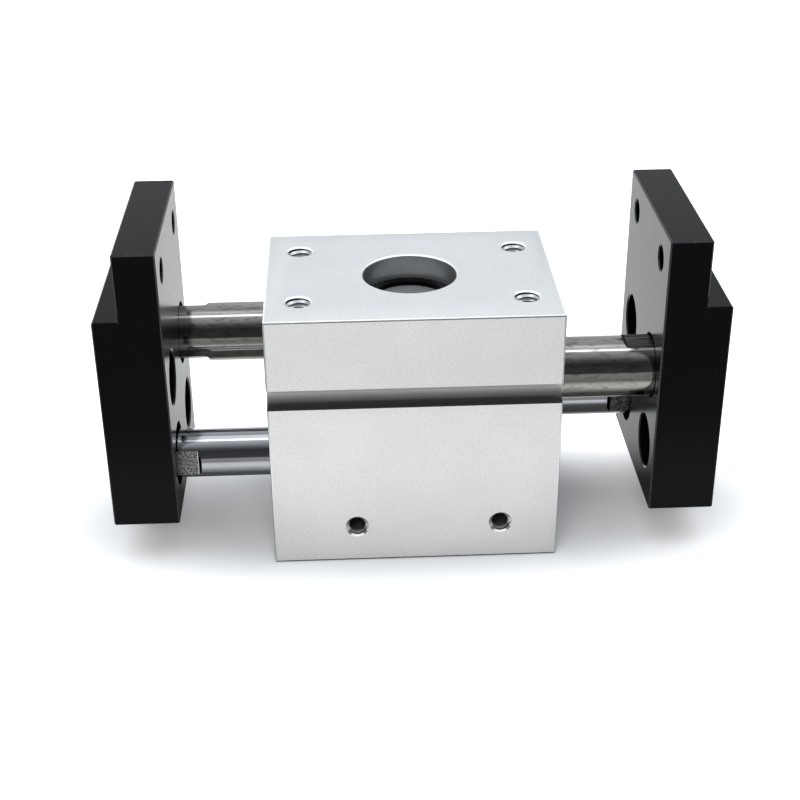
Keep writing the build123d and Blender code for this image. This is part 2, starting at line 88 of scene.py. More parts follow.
# Turns that send a tool made along +X the other way round, down, up and to the back
HALF_TURN = Matrix.Rotation(math.pi, 4, "Z")
X_TO_DOWN = Matrix.Rotation(math.pi / 2, 4, "Y")
X_TO_UP = Matrix.Rotation(-math.pi / 2, 4, "Y")
X_TO_BACK = Matrix.Rotation(math.pi / 2, 4, "Z")

# Flats that stand for a tapped hole's circle
HOLE_STEPS = 64
# Depth of a drill's cone as a share of its radius
DRILL_CONE = 0.6
# How much wider a seat is than what sits in it
SEATED = 0.02 * MM
# How far a tool reaches past the metal
BEYOND = 1.0 * MM
# Corners closer than this are merged, and edges sharper than this stay sharp
MERGED = 0.0005 * MM
SHARP_ANGLE = math.radians(28)


def linear(code):
    """Linear RGB of an sRGB hex value."""
    parts = [int(code[i:i + 2], 16) / 255 for i in (0, 2, 4)]
    return [c / 12.92 if c <= 0.04045 else ((c + 0.055) / 1.055) ** 2.4 for c in parts]


def length_property(name, description, default_mm):
    """A length of the panel, with its default in millimetres."""
    return bpy.props.FloatProperty(name=name, description=description, default=default_mm * MM,
                                   unit="LENGTH", precision=5)


def colour_property(name, description, code):
    """A colour of the panel, with its default as an sRGB hex value."""
    return bpy.props.FloatVectorProperty(name=name, description=description, subtype="COLOR",
                                         default=linear(code))


class GripperSizes(bpy.types.PropertyGroup):
    """Sizes that only the looks need; everything else comes from the frame"""
    round_steps: bpy.props.IntProperty(
        name="Round steps", description="Flats that stand for a full circle", default=128, min=24)
    block_edge: length_property("Block edge", "Width of the housing's broken edges", 0.48)
    plate_edge: length_property("Plate edge", "Width of the finger plates' broken edges", 0.35)
    groove_depth: length_property("Groove depth", "Depth of the sensor groove", 4.0)
    groove_width: length_property("Groove width", "Height of the sensor groove's mouth", 5.2)
    tapped_depth: length_property("Tapped depth", "Depth of the mounting holes", 9.0)
    port_depth: length_property("Port depth", "Depth of the air ports", 7.0)
    mouth: length_property("Hole mouth", "How much wider a countersink is than its thread", 0.4)
    bore_chamfer: length_property("Bore chamfer", "Chamfer round the top bore", 0.35)
    coarse_pitch: length_property("Mounting thread pitch", "Pitch of the 6 mm threads", 1.0)
    fine_pitch: length_property("Port thread pitch", "Pitch of the 5 mm threads", 0.8)


class GripperColours(bpy.types.PropertyGroup):
    """Colours of the main finishes"""
    housing: colour_property("Housing", "Clear anodised aluminium", "DADBDC")
    fingers: colour_property("Fingers", "Black anodised aluminium", "050506")
    ground_steel: colour_property("Thick rods", "Ground and hardened steel", "ABA8A2")
    chrome: colour_property("Thin rods", "Polished hard chrome", "C9CACF")


# Shapes

def to_mesh(shape):
    """Turns an edited shape into a mesh and lets the shape go."""
    mesh = bpy.data.meshes.new("shape")
    shape.to_mesh(mesh)
    shape.free()
    return mesh


def turned(outline, steps):
    """A closed shape turned about X from a closed outline of (x, radius) points."""
    shape = bmesh.new()
    rings = []
    for x, radius in outline:
        if radius <= 0:
            rings.append([shape.verts.new((x, 0, 0))])
            continue
        angles = [2 * math.pi * i / steps for i in range(steps)]
        rings.append([shape.verts.new((x, radius * math.cos(a), radius * math.sin(a)))
                      for a in angles])
    for first, second in zip(rings, rings[1:] + rings[:1]):
        for i in range(steps):
            j = (i + 1) % steps
            corners = list(dict.fromkeys((first[i % len(first)], first[j % len(first)],
                                          second[j % len(second)], second[i % len(second)])))
            if len(corners) > 2:
                shape.faces.new(corners)
    bmesh.ops.recalc_face_normals(shape, faces=shape.faces)
    return to_mesh(shape)


def extruded(profile, low, high):
    """A closed prism of an (x, z) profile between two places along Y."""
    shape = bmesh.new()
    ends = [[shape.verts.new((x, y, z)) for x, z in profile] for y in (low, high)]
    shape.faces.new(ends[0])
    shape.faces.new(ends[1])
    for i in range(len(profile)):
        j = (i + 1) % len(profile)
        shape.faces.new((ends[0][i], ends[0][j], ends[1][j], ends[1][i]))
    bmesh.ops.recalc_face_normals(shape, faces=shape.faces)
    return to_mesh(shape)


def block(low, high):
    """A box between two corners."""
    profile = [(low[0], low[2]), (high[0], low[2]), (high[0], high[2]), (low[0], high[2])]
    return extruded(profile, low[1], high[1])


def moved(mesh, matrix):
    """Moves a mesh and hands it back."""
    mesh.transform(matrix)
    return mesh


def faced_outwards(mesh):
    """Turns the faces of a closed mesh outwards."""
    shape = bmesh.new()
    shape.from_mesh(mesh)
    bmesh.ops.recalc_face_normals(shape, faces=shape.faces)
    shape.to_mesh(mesh)
    shape.free()
    return mesh


def with_broken_edges(mesh, width, steps):
    """Breaks every edge of a plain shape."""
    shape = bmesh.new()
    shape.from_mesh(mesh)
    bmesh.ops.bevel(shape, geom=shape.edges, offset=width, segments=steps, profile=0.5,
                    affect="EDGES", clamp_overlap=True)
    return to_mesh(shape)


def new_piece(name, mesh):
    """Puts a mesh into the scene as an object."""
    mesh.name = name
    piece = bpy.data.objects.new(name, mesh)
    bpy.context.scene.collection.objects.link(piece)
    return piece


def bake_modifiers(piece):
    """Turns a piece's modifiers into plain mesh."""
    graph = bpy.context.evaluated_depsgraph_get()
    made = bpy.data.meshes.new_from_object(piece.evaluated_get(graph))
    made.name = piece.name
    piece.modifiers.clear()
    piece.data = made


def cut(piece, tools):
    """Takes the space of each tool out of a piece."""
    crate = bpy.data.collections.new("tools")
    bpy.context.scene.collection.children.link(crate)
    for mesh in tools:
        crate.objects.link(bpy.data.objects.new("tool", mesh))
    modifier = piece.modifiers.new("cut", "BOOLEAN")
    modifier.operand_type = "COLLECTION"
    modifier.collection = crate
    modifier.solver = "EXACT"
    bpy.context.view_layer.update()
    bake_modifiers(piece)
    for tool in list(crate.objects):
        bpy.data.objects.remove(tool)
    bpy.data.collections.remove(crate)


def finish_piece(piece, body, slot, replaced=(), finish=None):
    """Merges, shades and paints a piece, and hands it to its body."""
    shape = bmesh.new()
    shape.from_mesh(piece.data)
    bmesh.ops.remove_doubles(shape, verts=shape.verts, dist=MERGED)
    bmesh.ops.dissolve_degenerate(shape, edges=shape.edges, dist=MERGED)
    shape.to_mesh(piece.data)
    shape.free()
    piece.data.polygons.foreach_set("use_smooth", [True] * len(piece.data.polygons))
    piece.data.set_sharp_from_angle(angle=SHARP_ANGLE)
    piece.data.materials.clear()
    piece.data.materials.append(finish or FINISHES[slot])
    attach(piece, body)
    if replaced:
        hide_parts(*replaced)


def box_of(node):
    """Lowest corner, highest corner, middle and radius across X of a round node."""
    low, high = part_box(node)
    return low, high, (low + high) / 2, (high.z - low.z) / 2


def axes_across(mount):
    """The two axes across the holes of a mount in the record."""
    axis = [abs(a) for a in mount["axis"]].index(1)
    return [i for i in range(3) if i != axis]


def hole_centres(mount):
    """Middle of each hole of a bolt pattern in the record."""
    place, dims = Vector(mount["pos_m"]), mount["dims"]
    half = [dims.get(key, 0) * MM / 2 for key in ("spacing_x_mm", "spacing_y_mm")]
    first, second = axes_across(mount)
    centres = []
    for u in ((-1, 1) if half[0] else (0,)):
        for v in ((-1, 1) if half[1] else (0,)):
            centre = place.copy()
            centre[first] += u * half[0]
            centre[second] += v * half[1]
            centres.append(centre)
    return centres


def thread_radius(mount):
    """Radius of a mount's tapped holes."""
    dims = mount["dims"]
    return dims.get("hole_r_mm", dims.get("r_mm")) * MM


def tapped_hole(radius, mouth, depth):
    """The space of a countersunk blind hole that starts at x = 0 and goes along +X."""
    return turned([(-mouth, 0), (-mouth, radius + 2 * mouth), (mouth, radius), (depth, radius),
                   (depth + radius * DRILL_CONE, 0)], HOLE_STEPS)


def chamfered_hole(start, end, radius, lip, steps):
    """The space of a through hole along X with a chamfer at both ends."""
    return turned([(start - lip, 0), (start - lip, radius + 2 * lip), (start + lip, radius),
                   (end - lip, radius), (end + lip, radius + 2 * lip), (end + lip, 0)], steps)


# Materials

# Inputs and output of a mix node that carry colours
FIRST_COLOUR, SECOND_COLOUR, MIXED_COLOUR = 6, 7, 2
# The middle range of a noise, which holds most of its spots, and how rough the noise is
NOISE_LOW, NOISE_HIGH, NOISE_ROUGHNESS = 0.35, 0.65, 0.6


def feed(tree, socket, value):
    """Links an input to an output or to a node's first output, or sets its value."""
    if isinstance(value, bpy.types.Node):
        value = value.outputs[0]
    if isinstance(value, bpy.types.NodeSocket):
        tree.links.new(value, socket)
    else:
        socket.default_value = value


def add_node(tree, kind, inputs=None, **settings):
    """Adds a node with its settings and feeds its inputs."""
    made = tree.nodes.new(kind)
    for name, value in settings.items():
        setattr(made, name, value)
    for name, value in (inputs or {}).items():
        feed(tree, made.inputs[name], value)
    return made


def maths(tree, operation, first, second):
    """One operation on two values."""
    return add_node(tree, "ShaderNodeMath", {0: first, 1: second}, operation=operation)


def along(tree, axis):
    """Place along one axis of the object's own coordinates, in metres."""
    place = add_node(tree, "ShaderNodeTexCoord").outputs["Object"]
    return add_node(tree, "ShaderNodeSeparateXYZ", {"Vector": place}).outputs[axis]


def grain(tree, size_mm, stretch=(1, 1, 1), detail=2.0):
    """Noise whose spots are about size_mm across, in the object's own coordinates.

    Grit, cutter marks and turned lines too fine to show are drawn at 0.2 mm or coarser.
    """
    place = add_node(tree, "ShaderNodeTexCoord").outputs["Object"]
    scaled = add_node(tree, "ShaderNodeMapping", {"Vector": place, "Scale": stretch})
    return add_node(tree, "ShaderNodeTexNoise",
                    {"Vector": scaled, "Scale": 1 / (size_mm * MM), "Detail": detail,
                     "Roughness": NOISE_ROUGHNESS})


def ramp(tree, factor, low, high, start=NOISE_LOW, end=NOISE_HIGH):
    """A map from a factor to a range of values."""
    return add_node(tree, "ShaderNodeMapRange",
                    {"Value": factor, "From Min": start, "From Max": end, "To Min": low,
                     "To Max": high})


def levels(tree, factor, stops, colour):
    """A colour whose brightness follows a list of (factor, level) stops."""
    first, last = stops[0][0], stops[-1][0]
    made = add_node(tree, "ShaderNodeValToRGB", {"Fac": ramp(tree, factor, 0, 1, first, last)})
    elements = made.color_ramp.elements
    while len(elements) < len(stops):
        elements.new(0.5)
    for element, (place, level) in zip(elements, stops):
        element.position = (place - first) / (last - first)
        element.color = [level * part for part in colour] + [1]
    return made


def tint(tree, base, strength):
    """A colour made lighter or darker by a strength round 1."""
    return add_node(tree, "ShaderNodeVectorMath", {0: tuple(base), "Scale": strength},
                    operation="SCALE")


def blended(tree, factor, first, second):
    """A colour between two others."""
    sockets = {"Factor": factor, FIRST_COLOUR: first, SECOND_COLOUR: second}
    return add_node(tree, "ShaderNodeMix", sockets, data_type="RGBA").outputs[MIXED_COLOUR]


def bump(tree, height, depth_mm):
    """A surface normal that follows a height of depth_mm at most."""
    return add_node(tree, "ShaderNodeBump",
                    {"Height": height, "Strength": 1.0, "Distance": depth_mm * MM})


def new_material(name, **surface_values):
    """A material with a plain surface shader; returns it, its tree and the shader."""
    material = bpy.data.materials.new(name)
    material.use_nodes = True
    surface = material.node_tree.nodes["Principled BSDF"]
    for socket, value in surface_values.items():
        surface.inputs[socket.replace("_", " ")].default_value = value
    return material, material.node_tree, surface


def wire(tree, surface, colour, roughness=None, normal=None):
    """Feeds a colour, and perhaps a roughness and a bump, to a surface shader."""
    for name, value in (("Base Color", colour), ("Roughness", roughness), ("Normal", normal)):
        if value is not None:
            feed(tree, surface.inputs[name], value)


def grained(name, colour, tone, roughness, size_mm, depth_mm=None, stretch=(1, 1, 1), detail=3.0,
            **surface_values):
    """A material whose tone, and perhaps roughness and bump, follow one grain."""
    material, tree, surface = new_material(name, **surface_values)
    marks = grain(tree, size_mm, stretch, detail)
    wire(tree, surface, tint(tree, colour, ramp(tree, marks, *tone)),
         roughness and ramp(tree, marks, *roughness), depth_mm and bump(tree, marks, depth_mm))
    return material


# Tone of the housing's faces by height in metres: painted shade, greyest at the bottom, and painted
# light in a lighter band just under the groove
HEIGHT_SHADING = ((0.0, 0.84), (0.003, 0.88), (0.009, 0.91), (0.016, 0.98), (0.0225, 1.03),
            (0.029, 1.07), (0.040, 1.07), (0.046, 0.99), (0.066, 1.0))
# Depths between which a port's threads go dark
PORT_LIT, PORT_DARK = 0.6 * MM, 2.2 * MM
# Heights between which the groove turns from painted shade to painted light, from its middle, as
# shares of its width
GROOVE_DARK, GROOVE_LIT = -0.42, 0.15


def clear_anodised_aluminium(colours):
    """Blasted and clear anodised aluminium: pale, silky and finely speckled."""
    material, tree, surface = new_material("clear_anodised_aluminium", Metallic=0.38)
    speckle = grain(tree, 0.42, detail=3.0)
    cloud = grain(tree, 14.0)
    # Painted shade and light: the faces grow greyer towards the bottom and lighter just under the
    # groove
    painted_height_shade = levels(tree, along(tree, "Z"), HEIGHT_SHADING, (1.0, 1.0, 1.0))
    spots = maths(tree, "MULTIPLY", ramp(tree, speckle, 0.90, 1.07), ramp(tree, cloud, 0.98, 1.01))
    wire(tree, surface, tint(tree, colours.housing, maths(tree, "MULTIPLY", spots, painted_height_shade)),
         ramp(tree, speckle, 0.52, 0.62), bump(tree, speckle, 0.02))
    return material


def cut_aluminium_edge():
    """The chamfers, cut after blasting: the sharpest lines on the housing, like a mirror's."""
    return grained("cut_aluminium_edge", linear("F4F5F6"), (0.97, 1.0), None, 0.3, Metallic=0.9,
                   Roughness=0.24)


def upper_aluminium_edge():
    """The chamfers that face up: a near-white, less mirror-like copy of the cut edge, a painted
    highlight under the lamp.
    """
    return grained("highlit_aluminium_edge", linear("FAFAFA"), (0.95, 1.0), None, 0.3,
                   Metallic=0.3, Roughness=0.35)


def machined_aluminium(name, code):
    """Bored or tapped aluminium: smoother than the faces; its dark copy in the tapped holes is
    painted shade.
    """
    return grained(name, linear(code), (0.93, 1.05), (0.27, 0.33), 0.25, 0.003, Metallic=0.9)


def port_aluminium():
    """Port threads: bright at the mouth, and darker with depth, where little light reaches."""
    material, tree, surface = new_material("port_thread_ridge", Metallic=0.9, Roughness=0.25)
    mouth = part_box("housing")[0].y
    shade = ramp(tree, along(tree, "Y"), 1.0, 0.12, mouth + PORT_LIT, mouth + PORT_DARK)
    wire(tree, surface, tint(tree, linear("F0F1F2"), shade))
    return material


def groove_aluminium(sizes):
    """The milled sensor groove: smooth, with painted shade towards its lower side and painted light
    towards its upper side.
    """
    material, tree, surface = new_material("milled_groove", Metallic=0.7, Roughness=0.35)
    middle = MOUNTS["sensor_groove"]["pos_m"][2]
    # Painted shade low in the groove and painted light high in it
    groove_light_and_shade = ramp(tree, along(tree, "Z"), 0.07, 1.35, middle + GROOVE_DARK * sizes.groove_width,
                  middle + GROOVE_LIT * sizes.groove_width)
    lines = ramp(tree, grain(tree, 0.3, stretch=(0.05, 1, 1)), 0.94, 1.04)
    wire(tree, surface, tint(tree, linear("D2D3D4"), maths(tree, "MULTIPLY", groove_light_and_shade, lines)))
    return material


def black_anodised_aluminium(colours):
    """Black anodised aluminium: almost black head-on, and silvery at a glancing angle."""
    material, tree, surface = new_material("black_anodised_aluminium", IOR=1.5,
                                           Specular_IOR_Level=0.11)
    speckle = grain(tree, 0.6, detail=3.0)
    fleck = ramp(tree, grain(tree, 0.9, detail=0.0), 0.0, 2.0, 0.80, 0.86)
    shade = maths(tree, "ADD", ramp(tree, speckle, 0.8, 1.2), fleck)
    wire(tree, surface, tint(tree, colours.fingers, shade), ramp(tree, speckle, 0.22, 0.26),
         bump(tree, speckle, 0.0015))
    return material


def worn_black_edge():
    """Edges where black anodising is thin: dark grey, and glossier than the faces."""
    return grained("worn_black_anodised_edge", linear("242529"), (0.5, 1.3), (0.2, 0.35), 1.5,
                   detail=4.0, IOR=1.5)


def ground_steel(colours):
    """Ground steel: bright, with fine turns round the rod, long smears and a few dark stains."""
    material, tree, surface = new_material("ground_steel", Metallic=1.0)
    turns = grain(tree, 0.35, stretch=(1, 0.02, 0.02))
    smears = grain(tree, 2.2, stretch=(0.12, 1, 1), detail=4.0)
    stains = ramp(tree, grain(tree, 1.0, stretch=(0.35, 1, 1), detail=8.0), 1.08, 0.50, 0.52, 0.72)
    shade = maths(tree, "MULTIPLY", ramp(tree, smears, 0.82, 1.16), stains)
    wire(tree, surface, tint(tree, colours.ground_steel, shade), ramp(tree, smears, 0.06, 0.12),
         bump(tree, turns, 0.0015))
    return material


def hard_chrome(colours):
    """Polished hard chrome: a near mirror with a faint blue cast and long smears."""
    return grained("hard_chrome", colours.chrome, (0.93, 1.03), (0.05, 0.13), 1.6, 0.0010,
                   (0.1, 1, 1), Metallic=1.0)


def milled_steel(name, size_mm, stretch):
    """Milled wrench flats: dull, with close dark and bright cutter marks."""
    return grained(name, linear("A3A19D"), (0.1, 1.15, 0.38, 0.60), (0.45, 0.3), size_mm, 0.05,
                   stretch, detail=4.0, Metallic=1.0)


def plain_metal(name, code, roughness, grain_mm=0.5, metallic=1.0):
    """Metal of the small parts and of the bottom edge's painted shade, whose shine a fine grain
    breaks up.
    """
    return grained(name, linear(code), (0.85, 1.1), (roughness * 0.8, roughness * 1.2), grain_mm,
                   0.004, Metallic=metallic)


def moulded(name, code, roughness):
    """Rubber and plastic of the seals, rings and bumpers, with a fine moulded grain."""
    return grained(name, linear(code), (0.9, 1.1), (roughness * 0.9, roughness * 1.1), 0.4, 0.01,
                   detail=2.0)


FINISHES = {}


def make_finishes(colours, sizes):
    """Makes a material for each slot of the record, and those of the edges, holes and flats."""
    FINISHES.update({
        "anodised_housing": clear_anodised_aluminium(colours),
        "black_anodised_finger": black_anodised_aluminium(colours),
        "ground_rod_steel": ground_steel(colours),
        "chromed_rod_steel": hard_chrome(colours),
        "ground_rod_steel_flat": milled_steel("milled_rack_rod_flat", 1.0, (0.07, 1, 1)),
        "chromed_rod_steel_flat": milled_steel("milled_piston_rod_flat", 0.45, (0.8, 1, 1)),
        "machined_aluminium": machined_aluminium("bored_aluminium", "CBCDCF"),
        # The tapped holes' and ports' walls are drawn dark grey: painted shade inside the holes
        "tapped_hole": machined_aluminium("shaded_hole_wall", "3C3D3F"),
        "thread_ridge": machined_aluminium("mounting_thread_ridge", "D9DADC"),
        "port_thread_ridge": port_aluminium(),
        # Dark grey for the housing's lowest chamfers: painted shade
        "shaded_bottom_edge": plain_metal("painted_shade_bottom_edge", "5A5D5F", 0.5),
        "groove": groove_aluminium(sizes),
        "cut_edge": cut_aluminium_edge(),
        "upper_edge": upper_aluminium_edge(),
        "worn_black_edge": worn_black_edge(),
        "black_spring_steel": plain_metal("phosphated_spring_steel", "1B1B1C", 0.45),
        "cover_steel": plain_metal("turned_cover_steel", "8A8C90", 0.5, metallic=0.5),
        "gear_steel": plain_metal("hobbed_gear_steel", "8B8B8B", 0.35),
        "zinc_plated_steel": plain_metal("zinc_plated_steel", "C9CBCE", 0.28),
        "turned_aluminium": plain_metal("turned_aluminium", "CFD0D2", 0.32),
        "sintered_bronze": plain_metal("sintered_bronze", "B08A57", 0.42, grain_mm=0.2),
        "magnet": plain_metal("pressed_magnet", "4A4A4D", 0.4),
        "seal_rubber": moulded("nitrile_rubber", "141414", 0.55),
        "bumper_rubber": moulded("polyurethane_rubber", "2A2A2C", 0.5),
        "wear_ring_plastic": moulded("moulded_wear_ring", "D9D4C6", 0.45),
    })


# Threads, repeated by geometry nodes

# Height of a ridge and half the width of its foot, as shares of the pitch, and points per turn
RIDGE_HEIGHT = 0.54
RIDGE_HALF_FOOT = 0.46
HELIX_STEPS = 48
# How deep the ridges start, and how much of a hole's depth they leave free in all
MOUNT_INSET, MOUNT_FREE = 0.6 * MM, 1.6 * MM
PORT_INSET, PORT_FREE = 0.7 * MM, 1.4 * MM
JAW_INSET = 0.8 * MM


def thread_tree():
    """A tree that puts a helical thread ridge on each point, along the point's axis."""
    tree = bpy.data.node_groups.new("helical_thread", "GeometryNodeTree")
    face = tree.interface
    face.new_socket("Geometry", in_out="INPUT", socket_type="NodeSocketGeometry")
    for name in ("Radius", "Pitch", "Length", "Ridge"):
        face.new_socket(name, in_out="INPUT", socket_type="NodeSocketFloat")
    face.new_socket("Material", in_out="INPUT", socket_type="NodeSocketMaterial")
    face.new_socket("Geometry", in_out="OUTPUT", socket_type="NodeSocketGeometry")
    group = add_node(tree, "NodeGroupInput").outputs
    turns = maths(tree, "DIVIDE", group["Length"], group["Pitch"])
    helix = add_node(tree, "GeometryNodeCurveSpiral", {
        "Resolution": HELIX_STEPS, "Rotations": turns, "Start Radius": group["Radius"],
        "End Radius": group["Radius"], "Height": group["Length"]})
    upright = add_node(tree, "GeometryNodeSetCurveNormal", {"Curve": helix}, mode="Z_UP")
    half_foot = maths(tree, "MULTIPLY", group["Pitch"], RIDGE_HALF_FOOT)
    corners = {}
    for across, foot in ((1.0, 0.0), (0.0, 1.0), (-1.0, 0.0), (0.0, -1.0)):
        corners["Point %d" % (len(corners) + 1)] = add_node(tree, "ShaderNodeCombineXYZ", {
            "X": maths(tree, "MULTIPLY", group["Ridge"], across),
            "Y": maths(tree, "MULTIPLY", half_foot, foot)})
    ridge = add_node(tree, "GeometryNodeCurvePrimitiveQuadrilateral", corners, mode="POINTS")
    swept = add_node(tree, "GeometryNodeCurveToMesh", {
        "Curve": upright, "Profile Curve": ridge, "Fill Caps": True})
    axis = add_node(tree, "GeometryNodeInputNamedAttribute", {"Name": "axis"},
                    data_type="FLOAT_VECTOR").outputs["Attribute"]
    turn = add_node(tree, "FunctionNodeAlignRotationToVector", {"Vector": axis}, axis="Z")
    copies = add_node(tree, "GeometryNodeInstanceOnPoints", {
        "Points": group["Geometry"], "Instance": swept, "Rotation": turn})
    real = add_node(tree, "GeometryNodeRealizeInstances", {"Geometry": copies})
    painted = add_node(tree, "GeometryNodeSetMaterial", {
        "Geometry": real, "Material": group["Material"]})
    add_node(tree, "NodeGroupOutput", {"Geometry": painted})
    return tree


def thread_sizes(mount, pitch, length):
    """What the thread tree needs to know of a mount's threads."""
    return {"Radius": thread_radius(mount), "Pitch": pitch, "Length": length,
            "Ridge": RIDGE_HEIGHT * pitch}


def threads(name, places, axis, sizes, body, slot, finish):
    """Thread ridges that start at each place and run along the axis."""
    mesh = bpy.data.meshes.new(name)
    mesh.from_pydata([tuple(place) for place in places], [], [])
    mesh.attributes.new("axis", "FLOAT_VECTOR", "POINT").data.foreach_set(
        "vector", list(axis) * len(places))
    piece = new_piece(name, mesh)
    tree = bpy.data.node_groups.get("helical_thread") or thread_tree()
    modifier = piece.modifiers.new("threads", "NODES")
    modifier.node_group = tree
    values = dict(sizes, Material=finish)
    for item in tree.interface.items_tree:
        if item.in_out == "INPUT" and item.name in values:
            modifier[item.identifier] = values[item.name]
    bpy.context.view_layer.update()
    bake_modifiers(piece)
    faced_outwards(piece.data)
    finish_piece(piece, body, slot, finish=finish)


# Housing

# Room round a thick rod, round a piston and round the pinion, and depth of the pinion's cover
ROD_ROOM = 0.3 * MM
PISTON_ROOM = 0.05 * MM
PINION_ROOM = 1.1 * MM
COVER_DEPTH = 4.0 * MM
GROOVE_STEPS = 24
# How near the outside a broken edge lies, and how far from it a bore's wall begins
EDGE_REACH = 0.6 * MM
WALL_START = 0.05 * MM
# How far a tapped hole's paint reaches, as a share of its radius
HOLE_REACH = 1.3
# How far the groove's paint reaches, as a share of its width and past its depth
GROOVE_REACH, GROOVE_ROOM = 0.51, 0.1 * MM
# Turn of a broken edge towards its nearest face, and of an edge that faces up or down
EDGE_LEAST, EDGE_MOST = 0.1, 0.99
EDGE_UP, EDGE_DOWN = 0.6, -0.2
# A normal that turns less than this towards X lies across it
ACROSS = 0.1


def nearest_face(centre, normal, low, high):
    """Distance to the nearest of a block's faces, and how far the normal turns towards it."""
    distances = [min(abs(centre[i] - low[i]), abs(high[i] - centre[i])) for i in range(3)]
    axis = distances.index(min(distances))
    return distances[axis], abs(normal[axis])


def in_tapped_hole(centre):
    """Whether a point of the housing lies in a mounting hole or a port."""
    for name in TAPPED_HOLES:
        first, second = axes_across(MOUNTS[name])
        reach = HOLE_REACH * thread_radius(MOUNTS[name])
        for place in hole_centres(MOUNTS[name]):
            if math.hypot(centre[first] - place[first], centre[second] - place[second]) < reach:
                return True
    return False


def paint_housing(piece, sizes):
    """Paints the broken edges, the groove, the tapped holes and the bores."""
    names = ("machined_aluminium", "cut_edge", "upper_edge", "groove", "tapped_hole",
             "shaded_bottom_edge")
    for name in names:
        piece.data.materials.append(FINISHES[name])
    low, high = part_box("housing")
    groove = MOUNTS["sensor_groove"]["pos_m"][2]
    for polygon in piece.data.polygons:
        centre, normal = polygon.center, polygon.normal
        distance, facing = nearest_face(centre, normal, low, high)
        in_groove = (abs(centre.z - groove) < GROOVE_REACH * sizes.groove_width
                     and abs(normal.x) < ACROSS
                     and SEATED < centre.y - low.y < sizes.groove_depth + GROOVE_ROOM)
        if in_groove:
            name = "groove"
        elif EDGE_LEAST < facing < EDGE_MOST and distance < EDGE_REACH:
            # Chamfers that face up get the near-white finish, a painted highlight
            name = "upper_edge" if normal.z > EDGE_UP else "cut_edge"
            # Lowest chamfers that face down get a dark grey: painted shade
            if centre.z - low.z < EDGE_REACH and normal.z < EDGE_DOWN:
                name = "shaded_bottom_edge"
        elif distance > WALL_START:
            name = "tapped_hole" if in_tapped_hole(centre) else "machined_aluminium"
        else:
            continue
        polygon.material_index = 1 + names.index(name)


def rack_rod_bore(steps):
    """The stepped bore of the right finger's thick rod."""
    end = FRAME_BOX[1].x
    _, tail_high, _, tail_radius = box_of("right_tail_bush")
    bush_low, bush_high, middle, bush_radius = box_of("right_rack_rod_bush")
    tail_seat, bush_seat = tail_radius + SEATED, bush_radius + SEATED
    scraper_seat = box_of("right_rack_rod_scraper")[3] + SEATED
    clear = box_of("right_rack_rod")[3] + ROD_ROOM
    outline = [(-end, 0), (-end, tail_seat), (tail_high.x, tail_seat), (tail_high.x, clear),
               (bush_low.x, clear), (bush_low.x, bush_seat), (bush_high.x, bush_seat),
               (bush_high.x, scraper_seat), (end, scraper_seat), (end, 0)]
    return moved(turned(outline, steps), Matrix.Translation((0, middle.y, middle.z)))


def cylinder_bore(steps):
    """The right finger's air cylinder, with the seats of its rod covers and rings."""
    end = FRAME_BOX[1].x
    low, high, middle, cover_radius = box_of("rear_right_rod_cover")
    ring_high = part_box("rod_cover_rings")[1]
    wall = box_of("right_piston_seal")[3] + PISTON_ROOM
    groove, seat = ring_high.z - middle.z, cover_radius + SEATED
    half = [(low.x, wall), (low.x, seat), (high.x, seat), (high.x, groove), (ring_high.x, groove),
            (ring_high.x, seat), (end, seat), (end, 0)]
    outline = [(-x, radius) for x, radius in reversed(half)] + half
    return moved(turned(outline, steps), Matrix.Translation((0, middle.y, middle.z)))


def top_bore(sizes):
    """The bore over the pinion, its ring groove, gear chamber and pin seat, from the top down."""
    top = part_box("housing")[1].z
    radius = MOUNTS["pilot_bore"]["dims"]["r_mm"] * MM
    ring_low, ring_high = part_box("pinion_cover_ring")
    washer_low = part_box("pinion_washers")[0].z
    pin_low, pin_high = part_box("pinion_pin")
    pinion_low, pinion_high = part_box("pinion")
    pin_radius = (pin_high.x - pin_low.x) / 2 + SEATED
    chamber = (pinion_high.y - pinion_low.y) / 2 + PINION_ROOM
    groove = (ring_high.x - ring_low.x) / 2 + SEATED
    seat = ring_low.z - COVER_DEPTH
    lip = sizes.bore_chamfer
    outline = [(-lip, 0), (-lip, radius + 2 * lip), (lip, radius),
               (top - ring_high.z, radius), (top - ring_high.z, groove),
               (top - ring_low.z, groove), (top - ring_low.z, radius),
               (top - seat, radius), (top - seat, chamber), (top - washer_low, chamber),
               (top - washer_low, pin_radius), (top - pin_low.z, pin_radius),
               (top - pin_low.z, 0)]
    return moved(turned(outline, sizes.round_steps), Matrix.Translation((0, 0, top)) @ X_TO_DOWN)


def sensor_groove(sizes):
    """The round-bottomed groove along the front, drawn along Y and mirrored into place."""
    low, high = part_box("housing")
    middle = MOUNTS["sensor_groove"]["pos_m"][2]
    half = sizes.groove_width / 2
    back = low.y + sizes.groove_depth - half
    profile = [(low.y - BEYOND, middle - half), (low.y - BEYOND, middle + half)]
    for i in range(GROOVE_STEPS + 1):
        angle = math.pi / 2 - math.pi * i / GROOVE_STEPS
        profile.append((back + half * math.cos(angle), middle + half * math.sin(angle)))
    bar = extruded(profile, low.x - BEYOND, high.x + BEYOND)
    mirror = Matrix.Rotation(math.pi / 2, 4, "Z") @ Matrix.Scale(-1, 4, (0, 1, 0))
    return faced_outwards(moved(bar, mirror))


